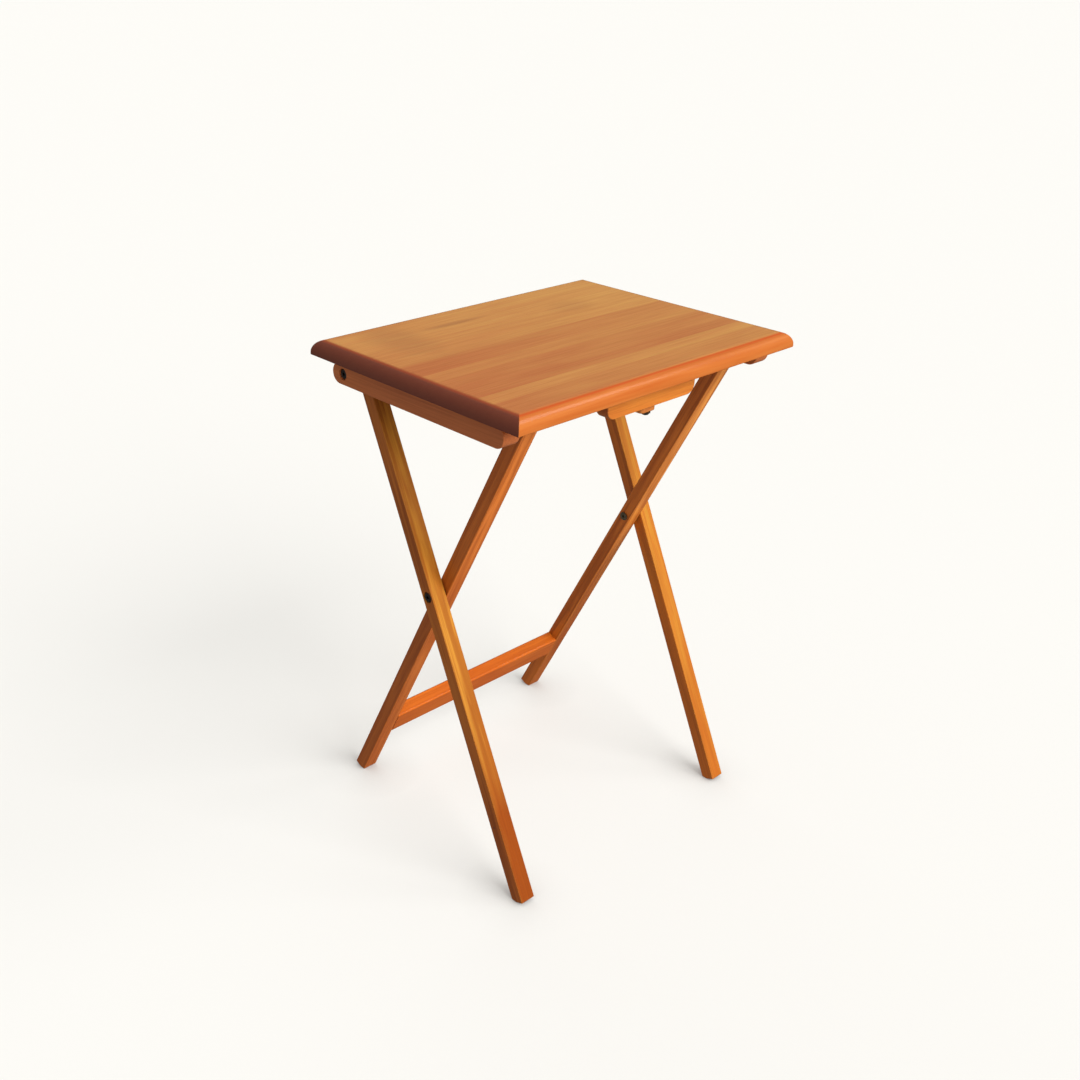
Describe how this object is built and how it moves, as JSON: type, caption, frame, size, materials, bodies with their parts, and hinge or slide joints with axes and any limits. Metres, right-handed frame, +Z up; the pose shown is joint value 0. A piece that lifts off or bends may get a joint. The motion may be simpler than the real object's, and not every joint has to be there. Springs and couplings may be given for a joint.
{
  "type": "folding tray table",
  "caption": "Folding wooden tray table: a rounded-edge tray on two pairs of crossed legs that close like scissors, held open by a block and a turn button.",
  "frame": {"origin": "on the floor, under the middle of the tray", "axes": "+X along the tray's long front edge to the right as seen from the front, +Y from the front edge to the back edge, +Z up"},
  "size_m": [0.48, 0.3724, 0.66],
  "materials": {
    "tray_wood": "tan-orange stained boards under satin lacquer",
    "frame_wood": "honey-orange stained wood under satin lacquer",
    "dowel_wood": "plain unfinished beech",
    "dark_steel": "dark oxide-coated steel, satin",
    "bright_steel": "zinc-plated steel, dull"
  },
  "bodies": {
    "outer_legs": {"cross_bolt_left": "dark_steel", "cross_bolt_right": "dark_steel", "cross_nut_left": "bright_steel", "cross_nut_right": "bright_steel", "cross_washer_left": "bright_steel", "cross_washer_right": "bright_steel", "outer_leg_left": "frame_wood", "outer_leg_right": "frame_wood", "pivot_insert_left": "bright_steel", "pivot_insert_right": "bright_steel"},
    "inner_frame": {"inner_leg_left": "frame_wood", "inner_leg_right": "frame_wood", "lower_stretcher": "frame_wood", "stretcher_dowel_left_lower": "dowel_wood", "stretcher_dowel_left_upper": "dowel_wood", "stretcher_dowel_right_lower": "dowel_wood", "stretcher_dowel_right_upper": "dowel_wood", "top_rail": "frame_wood", "top_rail_dowel_left_lower": "dowel_wood", "top_rail_dowel_left_upper": "dowel_wood", "top_rail_dowel_right_lower": "dowel_wood", "top_rail_dowel_right_upper": "dowel_wood"},
    "pivot_bolts": {"pivot_bolt_left": "dark_steel", "pivot_bolt_right": "dark_steel", "pivot_washer_left": "bright_steel", "pivot_washer_right": "bright_steel"},
    "tray": {"batten_left": "frame_wood", "batten_right": "frame_wood", "batten_screw_left_back": "dark_steel", "batten_screw_left_front": "dark_steel", "batten_screw_right_back": "dark_steel", "batten_screw_right_front": "dark_steel", "block_screw_left": "dark_steel", "block_screw_right": "dark_steel", "button_screw": "dark_steel", "button_washer": "bright_steel", "catch_block": "frame_wood", "tray_top": "tray_wood"},
    "latch": {"turn_button": "frame_wood"}
  },
  "joints": [
    {"name": "leg_fold", "type": "hinge", "parent": "outer_legs", "child": "inner_frame", "pos_m": [0, 0, 0.368], "axis": [-1, 0, 0], "range_deg": [0, 51.6]},
    {"name": "tray_lift", "type": "hinge", "parent": "outer_legs", "child": "pivot_bolts", "pos_m": [0, 0.12554, 0.6277], "axis": [-1, 0, 0], "range_deg": [0, 25.8]},
    {"name": "tray_swing", "type": "hinge", "parent": "pivot_bolts", "child": "tray", "pos_m": [0, 0.12554, 0.6277], "axis": [-1, 0, 0], "range_deg": [0, 90]},
    {"name": "latch_turn", "type": "hinge", "parent": "tray", "child": "latch", "pos_m": [0, -0.1469, 0.6078], "axis": [0, 0, 1], "range_deg": [-90, 90]}
  ],
  "couplings": [
    {"joint": "leg_fold", "follows": "tray_lift", "ratio": 2}
  ]
}
